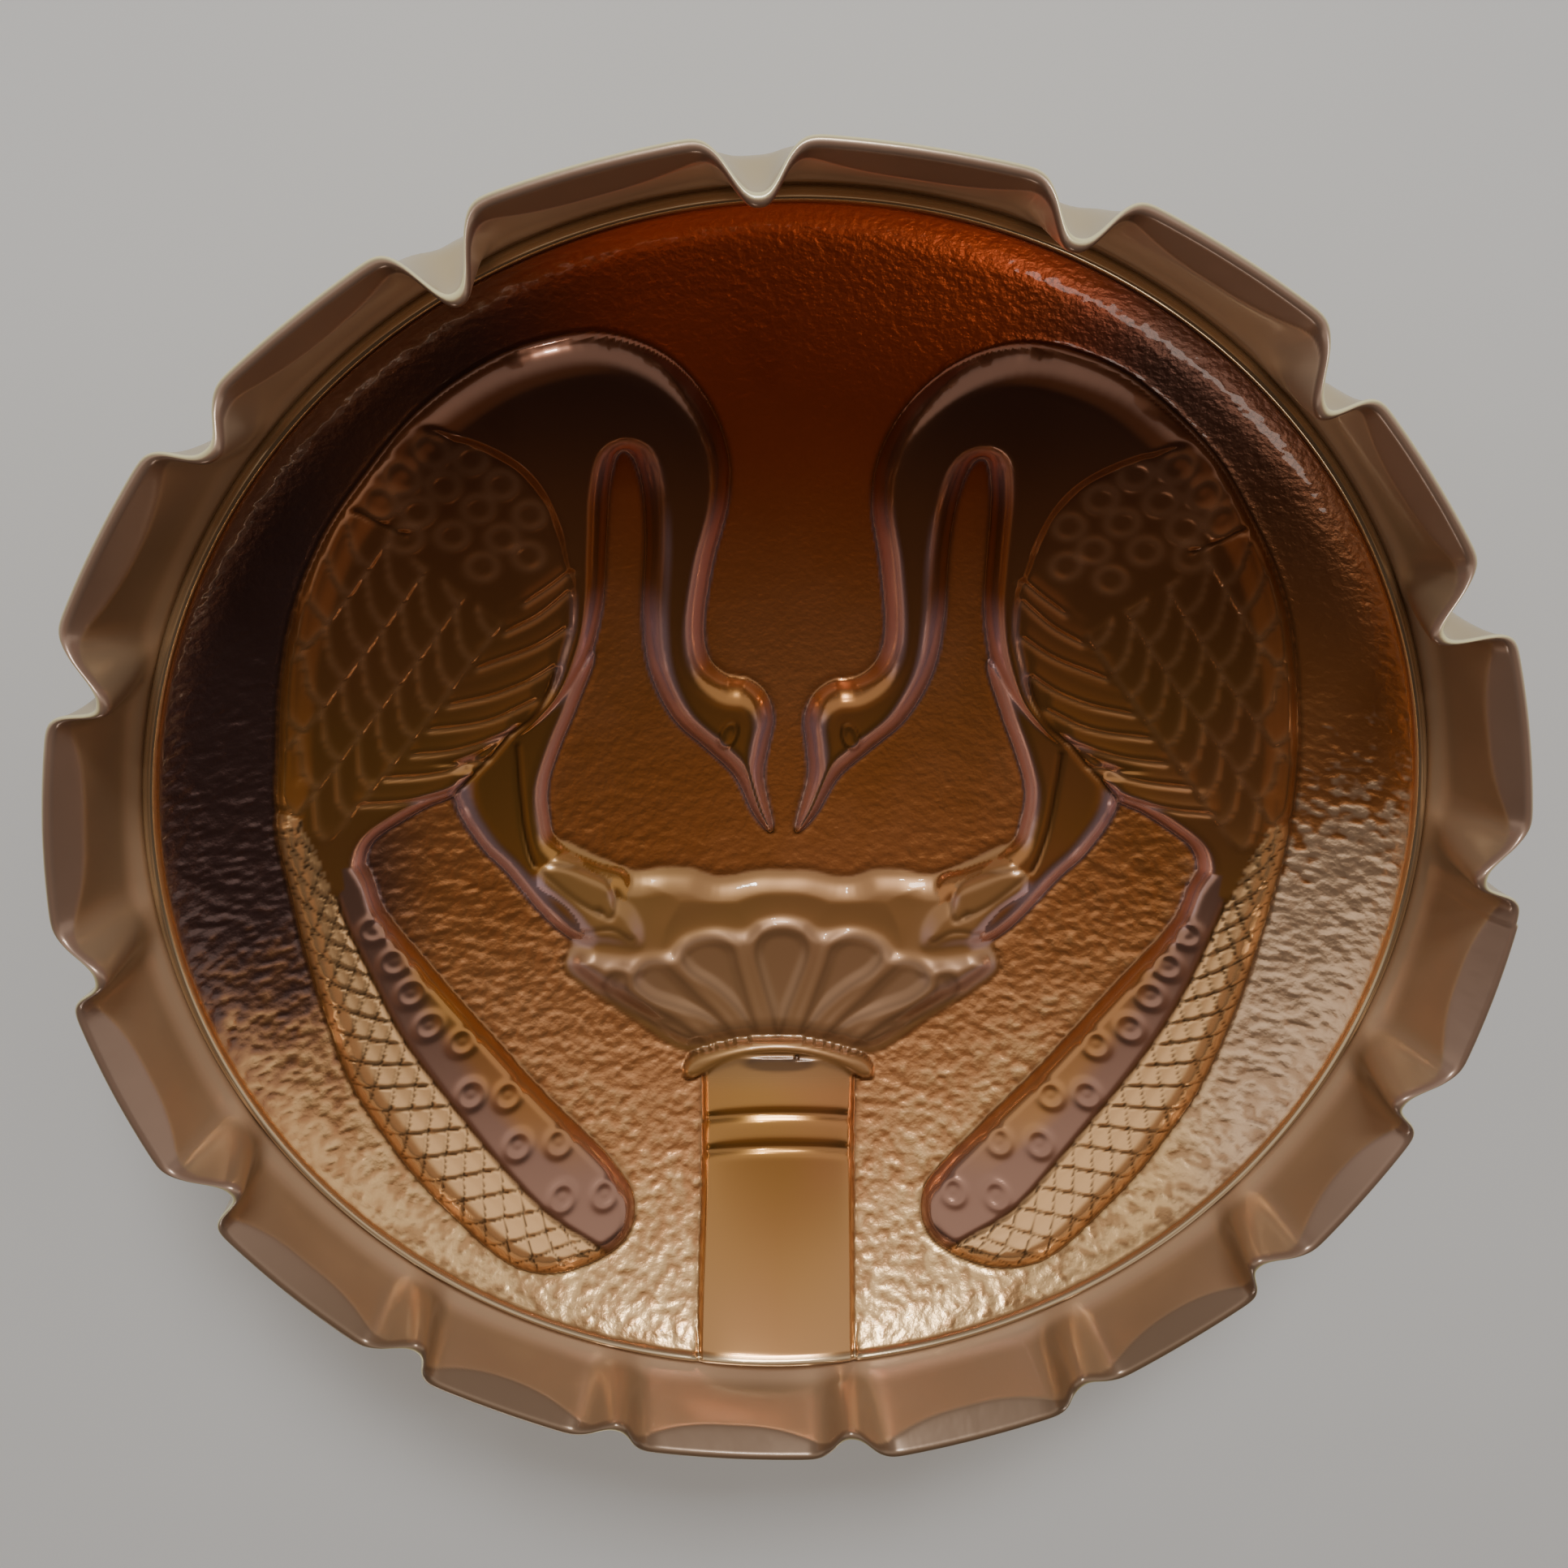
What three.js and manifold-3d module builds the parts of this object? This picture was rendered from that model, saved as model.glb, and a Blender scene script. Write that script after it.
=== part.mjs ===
// Carnival glass bowl: a pressed, iridised glass bowl on a low foot ring.
// Millimetres, +Z up, origin at the middle of the circle it stands on. The relief is mirrored in x = 0.
import * as THREE from 'three';
import { mergeVertices } from 'three/addons/utils/BufferGeometryUtils.js';
import Module from 'manifold-3d';

const wasm = await Module();
wasm.setup();

// ---- driving dimensions ----
const RIM_RADIUS = 116.5;        // outermost edge of a rim panel, before it is pulled oval
const RIM_OVAL = 1.6;            // how far the hand-worked edge is wider across x and narrower across y
const RING_RADIUS = 108;         // line where the well meets the crimped collar
const WELL_CURVE = 175;          // inside radius of the spherical well
const GLASS = 5;                 // wall of the well
const FOOT_HEIGHT = 4.8;
const FOOT_INNER = 41;
const FOOT_OUTER = 46;
const GAP = 0.3;                 // hairline between regions of the same glass
const COLLAR_RISE = 19.4;        // ring line to panel edge
const CREASE_RISE = 16.4;        // ring line to the crease under the flared lip
const CREASE_FLARE = 2.6;        // how far the crease stands outside the ring line
const LIP_GLASS = 2.6;           // wall at the lip
const CRIMPS = 16;
const CRIMP_START = 95.5;        // direction of the first crimp, degrees from +X
const CRIMP_WIDTH = 4.7;         // arc length over which a crimp dies away
const CRIMP_DEPTH = 8.5;         // how far the edge is pushed in at a crimp
const CRIMP_LIFT = 3.3;          // how far the edge is pushed up at a crimp
const PANEL_FLAT = 1.3;          // how far the middle of a panel's edge lies inside its corners
const RELIEF_BASE = 0.4;         // clearance between the well and the underside of the relief

const FLOOR_Z = FOOT_HEIGHT + GLASS;              // inside of the well at the axis
const CENTRE_Z = FLOOR_Z + WELL_CURVE;            // centre of the well's sphere
const RING_ANGLE = Math.asin(RING_RADIUS / WELL_CURVE);
const PITCH = 360 / CRIMPS;
const RAD = Math.PI / 180;

// How far each crimp was pinched off its even place, in degrees, going clockwise from the first.
const CRIMP_DRIFT = [0, -0.5, -0.5, 0, -0.5, -0.5, 1, 2, 1.5, 0.5, 1.5, 0, -0.5, -2, -1, 0];

// ---- materials ----
const LOOKS = {
  iridised_glass: { color: 0x6b3a17, roughness: 0.18, metalness: 0.1 },
  rim_glass: { color: 0x8d664c, roughness: 0.22, metalness: 0.1 },
  foot_glass: { color: 0x9a7a45, roughness: 0.2, metalness: 0.0 },
};

const group = new THREE.Group();
group.name = 'carnival_glass_bowl';

function addNode(name, geometry, slot) {
  const mesh = new THREE.Mesh(geometry, new THREE.MeshStandardMaterial(LOOKS[slot]));
  mesh.name = name;
  group.add(mesh);
}

// ---- helpers ----

// A point of the sphere concentric with the well, as (radius, height).
function onSphere(sphereRadius, angle) {
  return new THREE.Vector2(sphereRadius * Math.sin(angle), CENTRE_Z - sphereRadius * Math.cos(angle));
}

function arc(sphereRadius, from, to, steps) {
  const points = [];
  for (let i = 0; i <= steps; i += 1) {
    points.push(onSphere(sphereRadius, from + ((to - from) * i) / steps));
  }
  return points;
}

// Turns a (radius, height) profile about +Z.
function lathe(profile, segments) {
  const geometry = new THREE.LatheGeometry(profile, segments);
  geometry.rotateX(Math.PI / 2);
  return faceOutward(weld(geometry));
}

function weld(geometry) {
  geometry.deleteAttribute('normal');
  geometry.deleteAttribute('uv');
  return mergeVertices(geometry, 1e-4);
}

function dropSlivers(geometry) {
  const index = geometry.getIndex().array;
  const kept = [];
  for (let i = 0; i < index.length; i += 3) {
    const [a, b, c] = [index[i], index[i + 1], index[i + 2]];
    if (a !== b && b !== c && c !== a) kept.push(a, b, c);
  }
  geometry.setIndex(kept);
  return geometry;
}

function signedVolume(geometry) {
  const index = geometry.getIndex().array;
  const position = geometry.getAttribute('position');
  const [a, b, c] = [new THREE.Vector3(), new THREE.Vector3(), new THREE.Vector3()];
  let total = 0;
  for (let i = 0; i < index.length; i += 3) {
    a.fromBufferAttribute(position, index[i]);
    b.fromBufferAttribute(position, index[i + 1]);
    c.fromBufferAttribute(position, index[i + 2]);
    total += a.dot(b.cross(c)) / 6;
  }
  return total;
}

function faceOutward(geometry) {
  dropSlivers(geometry);
  if (signedVolume(geometry) < 0) geometry.setIndex(Array.from(geometry.getIndex().array).reverse());
  return geometry;
}

// A closed skin from a grid of points; the grid wraps round in either direction when told to.
function gridSkin(rows, columns, pointAt, wrapRows) {
  const positions = [];
  for (let i = 0; i < rows; i += 1) {
    for (let j = 0; j < columns; j += 1) positions.push(...pointAt(i, j));
  }
  const index = [];
  const lastRow = wrapRows ? rows : rows - 1;
  for (let i = 0; i < lastRow; i += 1) {
    const next = (i + 1) % rows;
    for (let j = 0; j < columns; j += 1) {
      const side = (j + 1) % columns;
      const [a, b, c, d] = [i * columns + j, next * columns + j, next * columns + side, i * columns + side];
      index.push(a, b, c, a, c, d);
    }
  }
  if (!wrapRows) {
    for (const [row, flip] of [[0, false], [rows - 1, true]]) {
      for (let j = 1; j < columns - 1; j += 1) {
        const fan = [row * columns, row * columns + j, row * columns + j + 1];
        index.push(...(flip ? fan.reverse() : fan));
      }
    }
  }
  const geometry = new THREE.BufferGeometry();
  geometry.setAttribute('position', new THREE.Float32BufferAttribute(positions, 3));
  geometry.setIndex(index);
  return faceOutward(geometry);
}

function toManifold(geometry) {
  return new wasm.Manifold(new wasm.Mesh({
    numProp: 3,
    vertProperties: Float32Array.from(geometry.getAttribute('position').array),
    triVerts: Uint32Array.from(geometry.getIndex().array),
  }));
}

function fromManifold(solid) {
  const mesh = solid.getMesh();
  const geometry = new THREE.BufferGeometry();
  geometry.setAttribute('position', new THREE.Float32BufferAttribute(mesh.vertProperties, 3));
  geometry.setIndex(Array.from(mesh.triVerts));
  return geometry;
}

// ---- foot ring and well ----

// The foot's top follows the underside of the well, a hairline below it.
function footRing() {
  const underside = WELL_CURVE + GLASS + GAP;
  const topFrom = Math.asin((FOOT_OUTER + 2.4) / underside);
  const topTo = Math.asin((FOOT_INNER - 1.6) / underside);
  const profile = [
    new THREE.Vector2(FOOT_INNER, 0),
    new THREE.Vector2(FOOT_OUTER - 0.6, 0),
    new THREE.Vector2(FOOT_OUTER, 0.6),
    new THREE.Vector2(FOOT_OUTER + 0.7, 3),
    ...arc(underside, topFrom, topTo, 3),
    new THREE.Vector2(FOOT_INNER - 0.6, 2.4),
    new THREE.Vector2(FOOT_INNER - 0.4, 0.4),
    new THREE.Vector2(FOOT_INNER, 0),
  ];
  return lathe(profile, 72);
}

function well() {
  const inner = arc(WELL_CURVE, 0, RING_ANGLE, 16);
  const outer = arc(WELL_CURVE + GLASS, RING_ANGLE, 0, 12);
  return lathe([...inner, ...outer], 96);
}

// ---- crimped collar ----

// Angles that crowd together at each crimp, where the wall turns fastest.
function collarAngles() {
  const steps = [-8, -5, -3.3, -2.2, -1.1, 0, 1.1, 2.2, 3.3, 5, 8, 11.25];
  const angles = [];
  for (let k = 0; k < CRIMPS; k += 1) {
    const here = crimpAngle(k);
    for (const step of steps) angles.push(here - step);
  }
  return angles;
}

function crimpAngle(k) {
  return CRIMP_START - PITCH * k + CRIMP_DRIFT[k % CRIMPS];
}

// Distance from the nearest crimp as an angle, in degrees.
function fromCrimp(angle) {
  let nearest = 360;
  for (let k = 0; k < CRIMPS; k += 1) {
    const off = (((angle - crimpAngle(k)) % 360) + 540) % 360 - 180;
    nearest = Math.min(nearest, Math.abs(off));
  }
  return nearest;
}

// The collar's section before crimping: (how far up it is, 0 to 1; radius; height over the ring line).
function collarSection() {
  const edge = RIM_RADIUS - RING_RADIUS;
  return [
    [0.00, 0.2, GAP],
    [0.25, 0.6, 4.6],
    [0.50, 1.1, 9],
    [0.75, 1.8, 13],
    [0.88, CREASE_FLARE, CREASE_RISE],
    [0.96, edge - 1.6, COLLAR_RISE - 0.5],
    [1.00, edge - 0.5, COLLAR_RISE],
    [1.00, edge, COLLAR_RISE - 0.6],
    [0.98, edge - 0.4, COLLAR_RISE - 1.7],
    [0.88, CREASE_FLARE + 2, CREASE_RISE - LIP_GLASS],
    [0.60, 4.9, 9],
    [0.30, 4.2, 4],
    [0.08, 4, 0.6],
    [0.00, 3.4, -2.6],
    [0.00, 1.8, -1.35 + GAP],
  ];
}

function crimpedCollar() {
  const angles = collarAngles();
  const section = collarSection();
  const ringZ = onSphere(WELL_CURVE, RING_ANGLE).y;
  const halfPitch = PITCH / 2;
  return gridSkin(angles.length, section.length, (i, j) => {
    const angle = angles[i];
    const [up, out, rise] = section[j];
    const away = fromCrimp(angle);
    const pinch = Math.exp(-((away * RAD * RIM_RADIUS / CRIMP_WIDTH) ** 2.5)) * up ** 1.25;
    const oval = RIM_OVAL * up * Math.cos(2 * angle * RAD);
    const flat = PANEL_FLAT * up * (1 - Math.cos((Math.PI * (away - halfPitch)) / halfPitch)) / 2;
    const radius = RING_RADIUS + out + oval - CRIMP_DEPTH * pinch - PANEL_FLAT * up + flat;
    const height = ringZ + rise + CRIMP_LIFT * pinch;
    return [radius * Math.cos(angle * RAD), radius * Math.sin(angle * RAD), height];
  }, true);
}

// ---- pressed relief ----

const PEACOCK = [
  [89, 8], [88.5, 22], [85.5, 36], [80, 49], [73, 60], [63, 72], [52, 80.5], [42, 85], [32, 86],
  [23, 82.5], [16.5, 75], [13, 66], [12.8, 57], [15, 46], [17, 34], [15.5, 26], [10, 22.8],
  [5.5, 20], [3, 15], [3.6, 8], [4.5, 2], [3, -10], [7, -4.5], [10.5, 3], [15.5, 8.5], [22, 15],
  [26, 24], [27, 36], [26.5, 50], [27, 60], [29.5, 67.5], [32, 61], [33.5, 50], [34.5, 38],
  [37, 26], [40, 16], [44.5, 5], [45.5, -3], [44, -9], [44.5, -22], [52, -14], [57.5, -8],
  [62, 2.5], [70, 0], [77, -4.5], [78, -9.5], [84, -2.5],
];

const TAIL = [
  [77.5, -12.5], [72, -24], [61, -40], [50, -54.5], [40, -66], [33, -73], [28.5, -79.5],
  [29.5, -85.5], [34, -88.3], [42, -89.7], [50, -88], [57.5, -82.5], [66.5, -72.5],
  [74.5, -60.5], [81, -48], [86, -30], [89, -13], [89.6, 4.5], [84.2, -5],
];

const BASIN_RIGHT = [
  [19, -18], [29, -16.5], [42.5, -10.5], [43, -24], [47, -23.5], [42.5, -29], [39.5, -32.5],
  [43, -34.5], [41, -38], [35, -43.5], [28, -48.5], [19.5, -53], [12, -51.5],
];

function mirrored(outline) {
  return outline.map(([x, y]) => [-x, y]);
}

// The solid that stands over an outline, from just above the well's surface to a height over it.
function raised(outline, height) {
  const shape = new THREE.Shape(outline.map(([x, y]) => new THREE.Vector2(x, y)));
  const prism = new THREE.ExtrudeGeometry(shape, { depth: CENTRE_Z, bevelEnabled: false, steps: 1 });
  const reach = RING_ANGLE * 0.99;
  const blanket = lathe([
    ...arc(WELL_CURVE - height, 0, reach, 14),
    ...arc(WELL_CURVE - RELIEF_BASE, reach, 0, 14),
  ], 64);
  return fromManifold(toManifold(faceOutward(weld(prism))).intersect(toManifold(blanket)));
}

// The fountain's column: half round across, following the fall of the well from collar to ring.
function column() {
  const stations = [
    [-54.3, 17, 3.5], [-55.5, 19.2, 6], [-58, 19.2, 6], [-59.6, 15.8, 4.4], [-64, 15.5, 5],
    [-75, 15.5, 5.4], [-88, 15.5, 5.4], [-98, 15.5, 5.2], [-105.4, 15.5, 5],
  ];
  const acrossSteps = 10;
  const around = 2 * acrossSteps;
  return gridSkin(stations.length, around, (i, j) => {
    const [y, halfWidth, height] = stations[i];
    const overTop = j <= acrossSteps;
    const turn = (overTop ? j : around - j) / acrossSteps;
    const x = -halfWidth * Math.cos(Math.PI * turn);
    const lift = overTop ? 0.9 + (height - 0.9) * Math.sin(Math.PI * turn) : RELIEF_BASE;
    const reach = Math.hypot(x, y);
    const angle = Math.asin(reach / WELL_CURVE);
    const shrink = (WELL_CURVE - lift) / WELL_CURVE;
    return [x * shrink, y * shrink, CENTRE_Z - (WELL_CURVE - lift) * Math.cos(angle)];
  }, false);
}

addNode('foot_ring', footRing(), 'foot_glass');
addNode('well', well(), 'iridised_glass');
addNode('crimped_collar', crimpedCollar(), 'rim_glass');
for (const [side, place] of [['right', (outline) => outline], ['left', mirrored]]) {
  addNode(`peacock_${side}`, raised(place(PEACOCK), 3.6), 'iridised_glass');
  addNode(`tail_${side}`, raised(place(TAIL), 2.8), 'iridised_glass');
}
addNode('fountain_basin', raised([...BASIN_RIGHT, ...mirrored(BASIN_RIGHT).reverse()], 4), 'iridised_glass');
addNode('fountain_column', column(), 'iridised_glass');

export default group;
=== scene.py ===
"""Looks of the carnival glass bowl: relief well, crimped collar and foot ring, one rigid body.

The glass is built from height formulas over a spherical well. Plan coordinates, depths, widths
and heights are in millimetres, the design is mirrored in x = 0, and meshes are written in metres.
"""

import math

import bmesh
import bpy
import numpy as np
from mathutils import Matrix, Vector


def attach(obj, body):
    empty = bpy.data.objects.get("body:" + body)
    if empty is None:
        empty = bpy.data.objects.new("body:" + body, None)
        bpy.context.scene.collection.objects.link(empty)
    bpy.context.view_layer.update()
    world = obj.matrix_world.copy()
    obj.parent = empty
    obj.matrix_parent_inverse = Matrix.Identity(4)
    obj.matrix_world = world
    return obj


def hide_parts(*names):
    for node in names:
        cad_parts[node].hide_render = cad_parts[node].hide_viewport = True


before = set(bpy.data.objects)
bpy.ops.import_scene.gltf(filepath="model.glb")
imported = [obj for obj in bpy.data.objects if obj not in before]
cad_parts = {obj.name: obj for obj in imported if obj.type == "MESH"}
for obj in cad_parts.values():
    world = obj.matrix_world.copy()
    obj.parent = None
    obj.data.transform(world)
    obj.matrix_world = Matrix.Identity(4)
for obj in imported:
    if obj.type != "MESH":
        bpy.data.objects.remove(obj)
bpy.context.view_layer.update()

MM = 0.001

# ---- dimensions shared with the CAD, millimetres ----
RIM_RADIUS = 116.5
RIM_OVAL = 1.6
RING_RADIUS = 108.0
WELL_CURVE = 175.0
GLASS = 5.0
FOOT_HEIGHT = 4.8
FOOT_INNER = 41.0
FOOT_OUTER = 46.0
FOOT_SINK = 0.1
COLLAR_RISE = 19.4
COLLAR_GAP = 0.3
CRIMPS = 16
CRIMP_START = 95.5
CRIMP_WIDTH = 4.7
CRIMP_LIFT = 3.3
CRIMP_DRIFT = (0, -0.5, -0.5, 0, -0.5, -0.5, 1, 2, 1.5, 0.5, 1.5, 0, -0.5, -2, -1, 0)

OUTER_CURVE = WELL_CURVE + GLASS
CENTRE_Z = FOOT_HEIGHT + OUTER_CURVE
RING_ANGLE = math.asin(RING_RADIUS / WELL_CURVE)
RING_Z = CENTRE_Z - WELL_CURVE * math.cos(RING_ANGLE)
PITCH = 360.0 / CRIMPS

# ---- the collar's finer shape ----
CREASE = 0.77  # height of the crease under the lip in the middle of a panel, as a part of the rise
CREASE_AT_CRIMP = 0.98
CREASE_REACH = 2.0  # how far the crease and the edge stand outside the ring line
EDGE_REACH = 5.0
EDGE_ROLL = 0.95  # height kept for the rolled edge
WALL_AT_RING = 4.0
WALL_AT_EDGE = 1.9
PANEL_FLAT = 0.5  # how far a panel's middle lies inside its corners
CRIMP_DEPTH = (7.5, 7.5, 8, 10.5, 9, 9, 8.5, 7, 9, 7.5, 8.5, 10.5, 7, 8.5, 6.5, 9.5)
PANEL_SPREAD = (0.2, 1, -1.5, 0, 0.1, -1, -1, 1.5, 0, -0.5, -1, 0, 0, 1.5, 0, 0.5)

# ---- mesh density ----
WELL_GRID = 481
OUTSIDE_STEP = 4
OUTSIDE_RINGS = 34
COLLAR_AROUND = 1440
FOOT_AROUND = 256

# ---- camera ----
CAMERA_PLACE = Vector((-17.1, 107.4, 274.1)) * MM
CAMERA_FORWARD = Vector((0.0583, -0.3736, -0.9258))
CAMERA_UP = Vector((-0.012, 0.927, -0.3748))
CAMERA_LENS = 33.85


def make_camera():
    data = bpy.data.cameras.new("camera")
    data.sensor_width = 36.0
    data.lens = CAMERA_LENS
    data.clip_start = 0.01
    camera = bpy.data.objects.new("camera", data)
    bpy.context.scene.collection.objects.link(camera)
    back = -CAMERA_FORWARD.normalized()
    right = CAMERA_UP.cross(back).normalized()
    up = back.cross(right)
    turn = Matrix((right, up, back)).transposed().to_4x4()
    camera.matrix_world = Matrix.Translation(CAMERA_PLACE) @ turn
    bpy.context.scene.camera = camera


# ---- numeric helpers ----
NOISE_CELLS = 512
NOISE_SHIFT = 200.0
CURVE_STEPS = 5
OUTLINE_REACH = 16.0  # distances to outlines and to lines are measured up to here
LINE_REACH = 6.0
TINY = 1e-6


def smooth(low, high, value):
    """Eased step from 0 at low to 1 at high. It falls where low is the larger of the two."""
    t = np.clip((value - low) / (high - low), 0.0, 1.0)
    return t * t * (3.0 - 2.0 * t)


def dome(depth, width):
    """Rises from 0 at an outline to 1 at a given depth inside it, like a rounded edge."""
    t = np.clip(depth / width, 0.0, 1.0)
    return np.maximum(1.0 - (1.0 - t) ** 2, 0.0) ** 0.9


def line(distance, width):
    """1 on a line, dying away within about two widths of it."""
    return np.exp(-((distance / width) ** 2))


def arch(x, half_width):
    """Half-round section: 1 in the middle, 0 from the half width outward."""
    return np.sqrt(np.clip(1.0 - (x / half_width) ** 2, 0.0, 1.0))


def highest(*heights):
    return np.maximum.reduce(heights)


def noise(x, y, scale, seed):
    """Smooth random field between -1 and 1, with features about one scale across."""
    table = np.random.default_rng(seed).uniform(-1.0, 1.0, (NOISE_CELLS, NOISE_CELLS))
    u = x / scale + NOISE_SHIFT
    v = y / scale + NOISE_SHIFT
    i = np.floor(u).astype(int)
    j = np.floor(v).astype(int)
    ease_u = smooth(0.0, 1.0, u - i)
    ease_v = smooth(0.0, 1.0, v - j)
    i0, i1 = i % NOISE_CELLS, (i + 1) % NOISE_CELLS
    j0, j1 = j % NOISE_CELLS, (j + 1) % NOISE_CELLS
    low = table[i0, j0] * (1 - ease_u) + table[i1, j0] * ease_u
    high = table[i0, j1] * (1 - ease_u) + table[i1, j1] * ease_u
    return low * (1 - ease_v) + high * ease_v


def curve(points, closed):
    """A Catmull-Rom curve through given points."""
    p = np.asarray(points, float)
    if closed:
        ring = np.vstack([p[-1], p, p[0], p[1]])
        spans = len(p)
    else:
        ring = np.vstack([2 * p[0] - p[1], p, 2 * p[-1] - p[-2]])
        spans = len(p) - 1
    out = []
    for k in range(spans):
        a, b, c, d = ring[k], ring[k + 1], ring[k + 2], ring[k + 3]
        for s in range(CURVE_STEPS):
            t = s / CURVE_STEPS
            out.append(0.5 * (2 * b + (c - a) * t + (2 * a - 5 * b + 4 * c - d) * t * t
                              + (3 * b - a - 3 * c + d) * t ** 3))
    if not closed:
        out.append(p[-1])
    return np.array(out)


def near_box(x, y, path, margin):
    low = path.min(axis=0) - margin
    high = path.max(axis=0) + margin
    return (x > low[0]) & (x < high[0]) & (y > low[1]) & (y < high[1])


def path_distance(x, y, path, closed, margin):
    """Distance to a path, capped at the margin; for a closed path also which points are inside."""
    far = np.full(x.shape, margin)
    inside = np.zeros(x.shape, bool)
    pick = near_box(x, y, path, margin)
    px, py = x[pick], y[pick]
    best = np.full(px.shape, margin ** 2)
    within = np.zeros(px.shape, bool)
    ends = np.roll(path, -1, axis=0) if closed else path[1:]
    for (ax, ay), (bx, by) in zip(path, ends):
        dx, dy = bx - ax, by - ay
        length2 = dx * dx + dy * dy + 1e-12
        t = np.clip(((px - ax) * dx + (py - ay) * dy) / length2, 0.0, 1.0)
        best = np.minimum(best, (px - ax - t * dx) ** 2 + (py - ay - t * dy) ** 2)
        if closed and ay != by:
            crosses = ((ay > py) != (by > py)) & (px < (bx - ax) * (py - ay) / (by - ay) + ax)
            within ^= crosses
    far[pick] = np.sqrt(best)
    inside[pick] = within
    return far, inside


def depth_inside(x, y, points):
    """Signed distance to a closed outline, positive inside."""
    distance, inside = path_distance(x, y, curve(points, True), True, OUTLINE_REACH)
    return np.where(inside, distance, -distance)


def line_distance(x, y, points):
    return path_distance(x, y, curve(points, False), False, LINE_REACH)[0]


# ---- the pressed design, right-hand half, millimetres from the axis ----

PEACOCK = (
    (89.5, 4), (89, 14), (87, 28), (83.5, 41), (79, 51), (73, 60), (63.5, 71.5), (52, 80.5), (42, 84.8),
    (32, 86), (23, 82.5), (16.5, 75.5), (13.2, 66.5), (12.8, 57), (15, 46), (16.8, 34), (15.8, 27),
    (12.5, 23.4), (8, 22.4), (4.6, 19.5), (3, 14.5), (3.8, 8.5), (4.4, 2), (2.2, -9), (6, -5.4), (10, 2.6),
    (15.5, 8.3), (22, 15), (26.2, 25), (27.2, 37), (26.6, 50), (27, 60), (28.6, 66), (31, 66.2),
    (32.6, 60), (33.5, 50), (34.5, 38), (37.5, 26.5), (43, 17.8), (50, 12), (57, 8.4), (66, 6),
    (77, 2.5), (84, -1.5),
)
THIGH = (
    (36.5, 29), (39.5, 18.5), (43, 10), (45.4, 2.5), (45.2, -4), (43.5, -9), (36, -14), (30, -17),
    (28, -24), (34, -30), (40, -30), (46, -24.5), (52.5, -15), (57.8, -8), (61.8, 2), (60, 12), (50, 20),
)
FLANK = (
    (56, 8), (61.5, 2.8), (66, 1.2), (71, -1.4), (75.6, -4.6), (77, -9), (76.6, -14), (80, -16),
    (86, -14), (89, -4), (89.6, 6), (86, 14), (70, 16),
)
TAIL = (
    (76.8, -9), (74.2, -18.5), (67.5, -30), (60, -41), (50, -54.3), (40.5, -65), (33.2, -72.8),
    (28.9, -79), (29.4, -85), (34, -88.4), (42, -89.8), (50, -88), (57.5, -82.6), (66.5, -72.6),
    (74.5, -60.5), (81, -47.5), (86, -30), (89, -12), (89.8, 4), (84, 4),
)
TAIL_SEAM = ((86.5, 2), (84, -5.5), (80.5, -21), (73, -41.5), (60.5, -62), (47.5, -78.2), (34, -88))
BACK_LINE = (
    (33, -88.2), (42, -89.8), (50, -88), (57.5, -82.6), (66.5, -72.6), (74.5, -60.5), (81, -47.5),
    (86, -30), (89, -12), (89.6, 4), (89, 14), (87, 28), (83.5, 41), (79, 51), (73, 60),
)
TAIL_EYES = (
    (76.8, -20.5), (73.8, -27.5), (71.2, -34), (68, -41), (62, -45.5), (60.6, -55.5), (53.8, -57),
    (51.8, -66.5), (44, -67.3), (43.4, -77), (35, -77.8),
)
WING = (
    (66, 70.5), (61.5, 73), (56.4, 72.2), (50.3, 69.2), (46, 65.6), (43, 60.8), (41, 54.4), (40, 48.4),
    (39, 44), (39.4, 36), (41.5, 29), (43.5, 22.5), (47, 18.2), (51.5, 12.8), (56, 8), (61, 4), (70, 0),
    (79, -4.5), (84, -4), (89.6, 4), (89, 14), (87, 28), (83.5, 41), (79, 51), (73, 60),
)
COVERT_RINGS = (
    (54.7, 67.3), (60.4, 68.8), (50.3, 62.6), (59.4, 62.8), (65.4, 64.4), (54.4, 58.4), (46.2, 56.8),
    (63.8, 58.4), (69.2, 60.2), (51, 52.6), (58.8, 53.6), (47, 49), (54.6, 47.4), (66, 53.6),
)
COVERT_EDGE = ((77.5, 55.6), (73.6, 58.4), (70, 57), (66, 54.4))
QUILLS = (
    ((39.8, 46.3), (43.5, 43.2), (48.3, 40)),
    ((40.5, 42), (46.2, 37.4), (52, 34.6)),
    ((41.5, 34.8), (47.6, 31.2), (57, 28.2)),
    ((43.9, 27.4), (48.3, 24.8), (55, 22.5), (62.4, 21.6)),
    ((47.4, 20.8), (53.6, 18.2), (59, 17.2), (65.8, 17.2)),
    ((51.8, 14.6), (57, 13.4), (62.5, 12.5), (69, 12.6)),
    ((56, 9.8), (61, 8.9), (66.6, 8.2), (73.4, 8.5)),
    ((61.4, 4.4), (66.6, 3.6), (72, 3.4), (78, 4)),
)
WING_EDGE = ((43.5, 27), (45.2, 22), (48, 17.6), (52, 14.2), (56, 9.8), (59, 6.8), (61.8, 3.6))
THIGH_LINE = ((51, 12), (50.8, 4), (50.2, -4), (49, -10), (48, -13))
CLAW_LINES = (
    ((48, -12.6), (45, -16.2), (40.2, -21), (36, -24)),
    ((48, -12.6), (43.4, -13.4), (38.6, -15), (34.6, -17.6), (33, -21), (34, -25), (36.4, -23)),
    ((30, -30), (33.6, -27.6), (38, -27.4), (41.6, -28.6)),
)
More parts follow.
